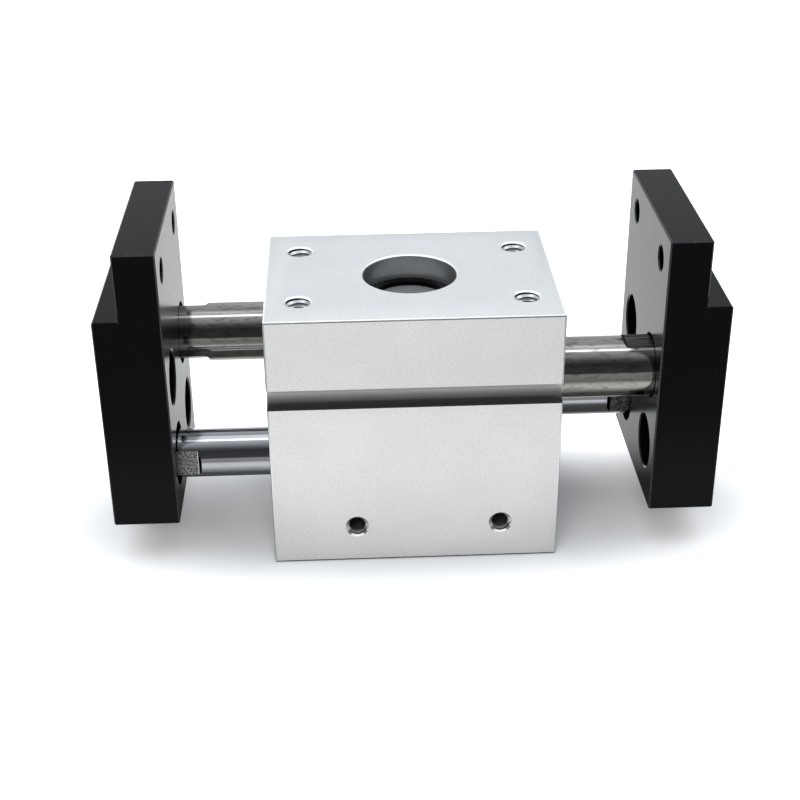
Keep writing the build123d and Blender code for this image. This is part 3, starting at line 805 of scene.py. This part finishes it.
class GRIPPER_OT_housing(bpy.types.Operator):
    """Makes the housing block with its bores, tapped holes, ports and sensor groove"""
    bl_idname = "gripper.housing"
    bl_label = "Housing"

    def execute(self, context):
        sizes = context.scene.gripper_sizes
        steps = sizes.round_steps
        low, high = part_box("housing")
        piece = new_piece("housing_block", with_broken_edges(block(low, high), sizes.block_edge, 2))
        tools = [sensor_groove(sizes), top_bore(sizes)]
        for make in (rack_rod_bore, cylinder_bore):
            tools.append(make(steps))
            tools.append(moved(make(steps), HALF_TURN))
        for name, turn in (("top_mount", X_TO_DOWN), ("bottom_mount", X_TO_UP)):
            for centre in hole_centres(MOUNTS[name]):
                hole = tapped_hole(thread_radius(MOUNTS[name]), sizes.mouth, sizes.tapped_depth)
                tools.append(moved(hole, Matrix.Translation(centre) @ turn))
        for name in PORTS:
            place = Vector(MOUNTS[name]["pos_m"])
            place.y = low.y
            hole = tapped_hole(thread_radius(MOUNTS[name]), sizes.mouth, sizes.port_depth)
            tools.append(moved(hole, Matrix.Translation(place) @ X_TO_BACK))
        cut(piece, tools)
        finish_piece(piece, "housing", "anodised_housing", ["housing"])
        paint_housing(piece, sizes)
        return {"FINISHED"}


class GRIPPER_OT_housing_threads(bpy.types.Operator):
    """Puts thread ridges in the housing's tapped holes and ports"""
    bl_idname = "gripper.housing_threads"
    bl_label = "Housing threads"

    def execute(self, context):
        sizes = context.scene.gripper_sizes
        for name, direction in (("top_mount", -1), ("bottom_mount", 1)):
            inset = Vector((0, 0, direction * MOUNT_INSET))
            places = [centre + inset for centre in hole_centres(MOUNTS[name])]
            values = thread_sizes(MOUNTS[name], sizes.coarse_pitch,
                                  sizes.tapped_depth - MOUNT_FREE)
            threads(name + "_threads", places, (0, 0, direction), values, "housing",
                    "anodised_housing", FINISHES["thread_ridge"])
        ports = [MOUNTS[name] for name in PORTS]
        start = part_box("housing")[0].y + PORT_INSET
        places = [(port["pos_m"][0], start, port["pos_m"][2]) for port in ports]
        values = thread_sizes(ports[0], sizes.fine_pitch, sizes.port_depth - PORT_FREE)
        threads("port_threads", places, (0, 1, 0), values, "housing", "anodised_housing",
                FINISHES["port_thread_ridge"])
        return {"FINISHED"}


# Finger plates

# Recess round a rod's shoulder, hole for its spigot, pocket for its nut, and passage for the
# other finger's rod tail
RECESS_RADIUS, RECESS_DEPTH = 8.0 * MM, 1.5 * MM
SPIGOT_HOLE_RADIUS = 4.2 * MM
NUT_POCKET_RADIUS = 9.0 * MM
PASSAGE_RADIUS, PASSAGE_CHAMFER = 6.75 * MM, 0.35 * MM
JAW_CHAMFER = 0.3 * MM
# How near a plate's side or end a broken edge lies, and how far it turns towards X
PLATE_EDGE_REACH = 0.5 * MM
PLATE_EDGE_LEAST, PLATE_EDGE_MOST = 0.3, 0.95


def finger_plate(sizes):
    """The right finger's stepped plate, before its holes."""
    low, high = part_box("right_finger")
    thin = MOUNTS["right_jaw_mount"]["pos_m"][0]
    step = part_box("housing")[1].z
    profile = [(low.x, low.z), (high.x, low.z), (high.x, step), (thin, step),
               (thin, high.z), (low.x, high.z)]
    return with_broken_edges(extruded(profile, low.y, high.y), sizes.plate_edge, 1)


def finger_tools(sizes):
    """The spaces of the right finger's recesses, nut pockets, passages and jaw holes."""
    steps = sizes.round_steps
    low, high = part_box("right_finger")
    shoulder = low.x + RECESS_DEPTH
    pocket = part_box("right_spring_washers")[0].x
    tools = []
    for node in ("right_rack_rod", "right_piston_rod"):
        middle = box_of(node)[2]
        seat = [(low.x - BEYOND, 0), (low.x - BEYOND, RECESS_RADIUS), (shoulder, RECESS_RADIUS),
                (shoulder, SPIGOT_HOLE_RADIUS), (pocket, SPIGOT_HOLE_RADIUS),
                (pocket, NUT_POCKET_RADIUS), (high.x + BEYOND, NUT_POCKET_RADIUS),
                (high.x + BEYOND, 0)]
        tools.append(moved(turned(seat, steps), Matrix.Translation((0, middle.y, middle.z))))
        passage = chamfered_hole(low.x, high.x, PASSAGE_RADIUS, PASSAGE_CHAMFER, steps)
        tools.append(moved(passage, Matrix.Translation((0, -middle.y, middle.z))))
    jaw = MOUNTS["right_jaw_mount"]
    for centre in hole_centres(jaw):
        hole = chamfered_hole(low.x, jaw["pos_m"][0], thread_radius(jaw), JAW_CHAMFER, HOLE_STEPS)
        tools.append(moved(hole, Matrix.Translation((0, centre.y, centre.z))))
    return tools


def paint_plate_edges(piece, node):
    """Gives a plate's broken edges and hole chamfers their worn finish."""
    piece.data.materials.append(FINISHES["worn_black_edge"])
    low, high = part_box(node)
    for polygon in piece.data.polygons:
        centre, slant = polygon.center, abs(polygon.normal.x)
        at_side = min(centre.y - low.y, high.y - centre.y) < PLATE_EDGE_REACH
        at_end = min(centre.z - low.z, high.z - centre.z) < PLATE_EDGE_REACH
        upright_corner = at_side and at_end and slant < PLATE_EDGE_LEAST
        if PLATE_EDGE_LEAST < slant < PLATE_EDGE_MOST or upright_corner:
            polygon.material_index = 1


class GRIPPER_OT_fingers(bpy.types.Operator):
    """Makes the two black finger plates and the threads in their jaw holes"""
    bl_idname = "gripper.fingers"
    bl_label = "Finger plates"

    def execute(self, context):
        sizes = context.scene.gripper_sizes
        jaw = MOUNTS["right_jaw_mount"]
        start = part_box("right_finger")[0].x + JAW_INSET
        places = [Vector((start, c.y, c.z)) for c in hole_centres(jaw)]
        values = thread_sizes(jaw, sizes.coarse_pitch, jaw["pos_m"][0] - start - JAW_INSET)
        for side, turn in (("right", Matrix()), ("left", HALF_TURN)):
            piece = new_piece(side + "_finger_plate", moved(finger_plate(sizes), turn))
            cut(piece, [moved(tool, turn) for tool in finger_tools(sizes)])
            finish_piece(piece, side + "_finger", "black_anodised_finger", [side + "_finger"])
            paint_plate_edges(piece, side + "_finger")
            threads(side + "_jaw_threads", [turn @ place for place in places],
                    turn.to_3x3() @ Vector((1, 0, 0)), values, side + "_finger",
                    "black_anodised_finger", FINISHES["black_anodised_finger"])
        return {"FINISHED"}


# Rods

TAIL_RADIUS = 6.0 * MM
SPIGOT_RADIUS = 3.95 * MM
TIP_CHAMFER = 0.8 * MM
# Slot, width across the wrench flats, their length, and their turn on the right and left rods
ROD_KINDS = {
    "rack_rod": ("ground_rod_steel", 13.0 * MM, 7.3 * MM, {"right": 0.0, "left": math.radians(30)}),
    "piston_rod": ("chromed_rod_steel", 10.0 * MM, 6.0 * MM,
                   {"right": math.pi / 2, "left": math.pi / 2}),
}
CUTTER_RADIUS, CUTTER_STEPS = 1.3 * MM, 8
# How far the flats stop short of the shoulder, and how far out they lie in radii at most
FLAT_GAP, FLAT_REACH = 0.01 * MM, 0.97
# The rack's ends and the number past its last tooth space, counted from the middle
RACK_INNER_END, RACK_OUTER_END, SPACES_END = -6.68 * MM, 27.0 * MM, 9
# The rack's module, the pinion's pitch radius, and the height of the teeth in modules
MODULE = 1.0 * MM
PITCH_RADIUS = 7.0 * MM
RACK_ADDENDUM, RACK_DEDENDUM = 0.8, 1.25
FLANK_SLOPE = math.tan(math.radians(20))
# How far a tooth space is cut past the teeth's tips
SPACE_RISE = 0.3 * MM


def flat_tools(start, end, across, radius, turn):
    """Two blocks that mill a rod's wrench flats, with the cutter's round run-out at one end."""
    corner, flat = CUTTER_RADIUS, across / 2
    profile = [(end, flat), (end, 2 * radius), (start, 2 * radius)]
    for step in range(CUTTER_STEPS + 1):
        angle = math.radians(180 + 90 * step / CUTTER_STEPS)
        profile.append((start + corner + corner * math.cos(angle),
                        flat + corner + corner * math.sin(angle)))
    tools = []
    for side in (0, math.pi):
        milled = extruded(profile, -2 * radius, 2 * radius)
        tools.append(moved(milled, Matrix.Rotation(turn + side, 4, "X")))
    return tools


def rack_tools(radius, offset):
    """The milled side and the tooth spaces of a rack, about the rod's own axis."""
    pitch_line = offset - PITCH_RADIUS
    tip = pitch_line + RACK_ADDENDUM * MODULE
    root = pitch_line - RACK_DEDENDUM * MODULE
    rise = tip + SPACE_RISE
    tools = [block((RACK_INNER_END - BEYOND, tip, -2 * radius),
                   (RACK_OUTER_END, 2 * radius, 2 * radius))]
    step = math.pi * MODULE
    half_root = step / 4 - (pitch_line - root) * FLANK_SLOPE
    half_mouth = step / 4 + (rise - pitch_line) * FLANK_SLOPE
    for index in range(math.ceil(RACK_INNER_END / step), SPACES_END):
        x = index * step
        space = extruded([(x - half_root, root), (x + half_root, root),
                          (x + half_mouth, rise), (x - half_mouth, rise)],
                         -radius - BEYOND, radius + BEYOND)
        tools.append(moved(space, Matrix.Rotation(-math.pi / 2, 4, "X")))
    return tools


def paint_flats(piece, slot, middle, inner, outer, radius):
    """Gives the wrench flats their own milled material."""
    piece.data.materials.append(FINISHES[slot + "_flat"])
    for polygon in piece.data.polygons:
        centre = polygon.center
        off_axis = math.hypot(centre.y - middle.y, centre.z - middle.z)
        across = abs(polygon.normal.x) < ACROSS
        if inner < abs(centre.x) < outer and across and off_axis < radius * FLAT_REACH:
            polygon.material_index = 1


def rod(side, kind, steps):
    """Makes one rod with its tail, shoulder, wrench flats and spigot end, whose thread is not
    drawn.
    """
    low, high, middle, radius = box_of("right_" + kind)
    slot, across, length, turns = ROD_KINDS[kind]
    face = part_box("right_finger")[0].x
    shoulder = face + RECESS_DEPTH
    tools = flat_tools(face - length, shoulder - FLAT_GAP, across, radius, turns[side])
    outline = [(low.x, 0), (low.x, TAIL_RADIUS - TIP_CHAMFER), (low.x + TIP_CHAMFER, TAIL_RADIUS)]
    if kind == "rack_rod":
        outline += [(RACK_INNER_END, TAIL_RADIUS), (RACK_INNER_END, radius)]
        tools += rack_tools(radius, abs(middle.y))
    outline += [(shoulder, radius), (shoulder, SPIGOT_RADIUS),
                (high.x - TIP_CHAMFER, SPIGOT_RADIUS), (high.x, SPIGOT_RADIUS - TIP_CHAMFER),
                (high.x, 0)]
    piece = new_piece(side + "_" + kind + "_bar", turned(outline, steps))
    cut(piece, tools)
    place = Matrix.Translation((0, middle.y, middle.z))
    if side == "left":
        place = HALF_TURN @ place
    moved(piece.data, place)
    finish_piece(piece, side + "_finger", slot, [side + "_" + kind])
    paint_flats(piece, slot, place.translation, face - length, shoulder, radius)


class GRIPPER_OT_rods(bpy.types.Operator):
    """Makes the thick rack rods and the thin piston rods"""
    bl_idname = "gripper.rods"
    bl_label = "Rods"

    def execute(self, context):
        for side in ("right", "left"):
            for kind in ROD_KINDS:
                rod(side, kind, context.scene.gripper_sizes.round_steps)
        return {"FINISHED"}


class GRIPPER_OT_small_parts(bpy.types.Operator):
    """Gives the remaining pieces their finishes"""
    bl_idname = "gripper.small_parts"
    bl_label = "Small parts"

    def execute(self, context):
        slots = {part["node"]: part["material_slot"] for part in frame["record"]["subparts"]}
        for name, node in frame["nodes"].items():
            material = FINISHES[slots[name]]
            if node.material_slots:
                for material_slot in node.material_slots:
                    material_slot.material = material
            else:
                node.data.materials.append(material)
        return {"FINISHED"}


# Stage

# The photo's camera, from a fit of the object's corners: degrees, metres and pixels, with a
# sensor in millimetres
CAMERA_AZIMUTH = -2.212
CAMERA_ELEVATION = 28.679
CAMERA_ROLL = -0.552
CAMERA_PLACE = (-15.36 * MM, -329.98 * MM, 211.48 * MM)
FOCAL_PIXELS = 1475.3
PHOTO_PIXELS = 800
SENSOR = 36.0
CLIP_NEAR, CLIP_FAR = 0.01, 20

# Colours of the light, and brightness of the surround as it lights matt surfaces
COOL_LIGHT = (0.90, 0.955, 1.0)
WARM_LIGHT = (1.0, 0.96, 0.90)
AMBIENT = 0.3
# Name, place and size in metres, power in watts and colour of each lamp, and what they aim at
SOFTBOXES = (("overhead_softbox", (-0.03, 0.06, 0.75), (1.2, 0.9), 6.5, COOL_LIGHT),
             ("front_softbox", (-0.15, -0.85, 0.40), (0.8, 0.5), 7.55, WARM_LIGHT))
LAMP_TARGET = (0, 0, 0.04)
# Brightness of the room in reflections, from the front (0) over the top (0.5) to the back (1)
ROOM = ((0.0, 0.07), (0.20, 0.05), (0.27, 0.14), (0.36, 0.44), (0.46, 0.70), (0.475, 3.4),
        (0.505, 3.4), (0.52, 0.9), (0.59, 1.3), (0.64, 0.50), (1.0, 0.78))
# Brightness of the floor in reflections, by distance in metres behind the object's middle
TABLE = ((-0.090, 0.12), (-0.065, 0.70), (-0.045, 0.70), (-0.020, 0.0), (0.010, 0.0),
         (0.030, 0.85), (0.060, 1.2), (0.100, 1.4))
TABLE_LIGHT = (0.96, 0.98, 1.0)
# Half width and thickness of the floor in metres, and its colour for other rays and for glossy ones
FLOOR_REACH, FLOOR_THICKNESS = 6, 0.01
FLOOR_COLOUR, FLOOR_IN_REFLECTIONS = (0.70, 0.71, 0.735, 1), (0.16, 0.16, 0.16, 1)
# Half width and half depth in metres of the oval where the shadow lies, and how far forward it is
SHADOW_OVAL = (0.074, 0.027, 0.006)
# Where the floor begins to fade into the surround and where it ends, in ovals
FADE_START, FADE_END = 0.66, 1.95
BLACK, WHITE = (0, 0, 0, 1), (1, 1, 1, 1)


def camera(scene):
    """Puts the camera where the photo's camera was."""
    azimuth, elevation = math.radians(CAMERA_AZIMUTH), math.radians(CAMERA_ELEVATION)
    roll = math.radians(CAMERA_ROLL)
    back = Vector((math.sin(azimuth) * math.cos(elevation),
                   -math.cos(azimuth) * math.cos(elevation), math.sin(elevation)))
    right = Vector((math.cos(azimuth), math.sin(azimuth), 0))
    up = back.cross(right)
    turned_right = math.cos(roll) * right + math.sin(roll) * up
    turned_up = -math.sin(roll) * right + math.cos(roll) * up
    data = bpy.data.cameras.new("camera")
    data.sensor_width = SENSOR
    data.lens = SENSOR * FOCAL_PIXELS / PHOTO_PIXELS
    data.clip_start, data.clip_end = CLIP_NEAR, CLIP_FAR
    made = bpy.data.objects.new("camera", data)
    turn = Matrix((turned_right, turned_up, back)).transposed().to_4x4()
    made.matrix_world = Matrix.Translation(CAMERA_PLACE) @ turn
    scene.collection.objects.link(made)
    scene.camera = made


def softbox(name, place, size, power, colour):
    """A rectangular lamp aimed at the object; reflections show the room in its place."""
    light = bpy.data.lights.new(name, "AREA")
    light.color = colour
    light.shape = "RECTANGLE"
    light.size, light.size_y = size
    light.energy = power
    lamp = bpy.data.objects.new(name, light)
    aim = (Vector(LAMP_TARGET) - Vector(place)).to_track_quat("-Z", "Y")
    lamp.matrix_world = Matrix.Translation(place) @ aim.to_matrix().to_4x4()
    lamp.visible_glossy = False
    bpy.context.scene.collection.objects.link(lamp)


def sky(scene):
    """A white surround for the camera, and a room that is dim in front for reflections."""
    world = bpy.data.worlds.new("studio")
    scene.world = world
    world.use_nodes = True
    tree = world.node_tree
    tree.nodes.clear()
    direction = add_node(tree, "ShaderNodeTexCoord").outputs["Generated"]
    parts = add_node(tree, "ShaderNodeSeparateXYZ", {"Vector": direction}).outputs
    angle = maths(tree, "ARCTAN2", parts["Z"], maths(tree, "MULTIPLY", parts["Y"], -1.0))
    room = levels(tree, maths(tree, "MULTIPLY", angle, 1 / math.pi), ROOM, COOL_LIGHT)
    ray = add_node(tree, "ShaderNodeLightPath").outputs
    ambient = [AMBIENT * part for part in COOL_LIGHT] + [1]
    lit = blended(tree, ray["Is Glossy Ray"], ambient, room)
    straight = maths(tree, "MAXIMUM", ray["Is Camera Ray"], ray["Is Transmission Ray"])
    seen = blended(tree, straight, lit, WHITE)
    background = add_node(tree, "ShaderNodeBackground", {"Color": seen})
    add_node(tree, "ShaderNodeOutputWorld", {"Surface": background})


def floor():
    """A white floor that keeps the gripper's shadow and fades into the surround."""
    mesh = block((-FLOOR_REACH, -FLOOR_REACH, -FLOOR_THICKNESS), (FLOOR_REACH, FLOOR_REACH, 0))
    piece = new_piece("floor", mesh)
    material = bpy.data.materials.new("white_table")
    material.use_nodes = True
    tree = material.node_tree
    tree.nodes.clear()
    ray = add_node(tree, "ShaderNodeLightPath").outputs
    shade = blended(tree, ray["Is Glossy Ray"], FLOOR_COLOUR, FLOOR_IN_REFLECTIONS)
    diffuse = add_node(tree, "ShaderNodeBsdfDiffuse", {"Color": shade})
    place = add_node(tree, "ShaderNodeTexCoord").outputs["Object"]
    across, deep, forward = SHADOW_OVAL
    oval = add_node(tree, "ShaderNodeVectorMath", {
        0: place, 1: (1 / across, 1 / deep, 0.0), 2: (0.0, forward / deep, 0.0)},
        operation="MULTIPLY_ADD")
    distance = add_node(tree, "ShaderNodeVectorMath", {0: oval}, operation="LENGTH")
    far = ramp(tree, distance.outputs["Value"], 0, 1, FADE_START, FADE_END)
    far.interpolation_type = "SMOOTHSTEP"
    mirrored = levels(tree, along(tree, "Y"), TABLE, TABLE_LIGHT)
    seen = blended(tree, ray["Is Camera Ray"], BLACK, far)
    boost = blended(tree, ray["Is Glossy Ray"], seen, mirrored)
    glow = add_node(tree, "ShaderNodeEmission", {"Color": boost, "Strength": 1.0})
    both = add_node(tree, "ShaderNodeAddShader", {0: diffuse, 1: glow})
    add_node(tree, "ShaderNodeOutputMaterial", {"Surface": both})
    mesh.materials.append(material)


class GRIPPER_OT_stage(bpy.types.Operator):
    """Sets up the floor, the surround, the softboxes and the camera"""
    bl_idname = "gripper.stage"
    bl_label = "Stage"

    def execute(self, context):
        scene = context.scene
        floor()
        sky(scene)
        for lamp in SOFTBOXES:
            softbox(*lamp)
        camera(scene)
        scene.view_settings.view_transform = "Standard"
        return {"FINISHED"}


class GRIPPER_PT_panel(bpy.types.Panel):
    """Lists the sizes, the colours and the makers of the pieces"""
    bl_idname = "GRIPPER_PT_panel"
    bl_label = "Parallel gripper"
    bl_space_type = "VIEW_3D"
    bl_region_type = "UI"
    bl_category = "Gripper"

    def draw(self, context):
        for group in (context.scene.gripper_sizes, context.scene.gripper_colours):
            for name in group.bl_rna.properties.keys():
                if name not in ("rna_type", "name"):
                    self.layout.prop(group, name)
        for operator in OPERATORS:
            self.layout.operator(operator.bl_idname)


OPERATORS = (GRIPPER_OT_housing, GRIPPER_OT_housing_threads, GRIPPER_OT_fingers, GRIPPER_OT_rods,
             GRIPPER_OT_small_parts, GRIPPER_OT_stage)
CLASSES = (GripperSizes, GripperColours) + OPERATORS + (GRIPPER_PT_panel,)


def register():
    for cls in CLASSES:
        bpy.utils.register_class(cls)
    bpy.types.Scene.gripper_sizes = bpy.props.PointerProperty(type=GripperSizes)
    bpy.types.Scene.gripper_colours = bpy.props.PointerProperty(type=GripperColours)


def unregister():
    del bpy.types.Scene.gripper_colours
    del bpy.types.Scene.gripper_sizes
    for cls in reversed(CLASSES):
        bpy.utils.unregister_class(cls)


def main():
    register()
    make_finishes(bpy.context.scene.gripper_colours, bpy.context.scene.gripper_sizes)
    bpy.ops.gripper.small_parts()
    bpy.ops.gripper.housing()
    bpy.ops.gripper.housing_threads()
    bpy.ops.gripper.fingers()
    bpy.ops.gripper.rods()
    bpy.ops.gripper.stage()


if __name__ == "__main__":
    main()
